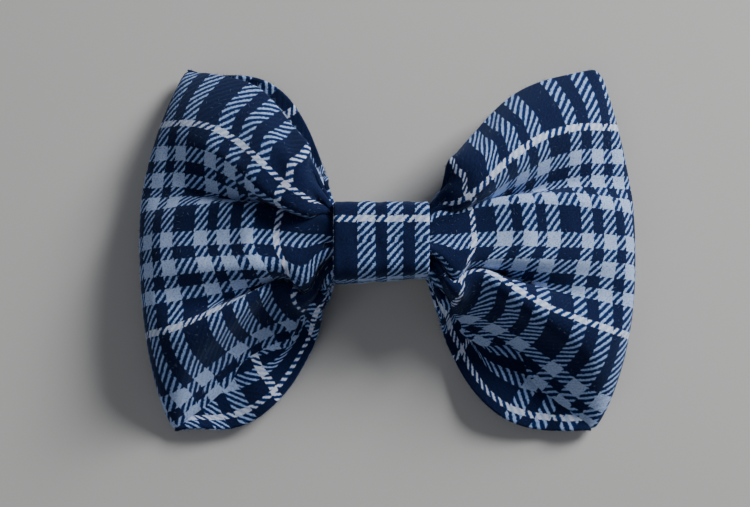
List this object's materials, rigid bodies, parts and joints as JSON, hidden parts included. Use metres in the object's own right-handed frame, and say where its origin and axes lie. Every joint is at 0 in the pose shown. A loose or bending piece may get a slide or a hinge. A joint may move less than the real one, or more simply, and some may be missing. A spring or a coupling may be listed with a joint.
{
  "type": "bow tie",
  "caption": "Pre-tied bow tie of lined plaid flannel: one folded strip gathered by thread, a wrapped knot band and a sprung two-jaw collar clip behind it.",
  "frame": {"origin": "middle of the bow's outline, on the surface that its back lies on", "axes": "+X along the bow's width towards its right loop as seen from the front, +Y up its height, +Z out of its front"},
  "size_m": [0.1204, 0.0896, 0.0249],
  "materials": {
    "plaid_flannel": "brushed 2/2 twill, navy ground with pale blue and white checks",
    "lining_flannel": "the same brushed twill, cut at another place of the check",
    "fusible": "plain white woven interfacing",
    "thread": "twisted navy sewing thread",
    "nickel_steel": "stamped sheet steel, nickel plated",
    "spring_steel": "bright drawn spring wire"
  },
  "bodies": {
    "bow": {"outer_cloth": "plaid_flannel", "interfacing": "fusible", "lining": "lining_flannel", "knot_band": "plaid_flannel", "knot_interfacing": "fusible", "waist_thread": "thread", "band_stitch": "thread", "clip_base": "nickel_steel", "left_pin": "nickel_steel", "right_pin": "nickel_steel", "left_spring": "spring_steel", "right_spring": "spring_steel"},
    "left_jaw": {"left_jaw": "nickel_steel"},
    "right_jaw": {"right_jaw": "nickel_steel"}
  },
  "joints": [
    {"name": "left_jaw_hinge", "type": "hinge", "parent": "bow", "child": "left_jaw", "pos_m": [-0.0165, 0, 0.0065], "axis": [0, -1, 0], "range_deg": [0, 17], "stiffness_Nm_per_rad": 0.046, "springref_deg": -22.92, "deforming": ["left_spring"]},
    {"name": "right_jaw_hinge", "type": "hinge", "parent": "bow", "child": "right_jaw", "pos_m": [0.0125, 0, 0.0065], "axis": [0, 1, 0], "range_deg": [0, 17], "stiffness_Nm_per_rad": 0.046, "springref_deg": -22.92, "deforming": ["right_spring"]}
  ]
}
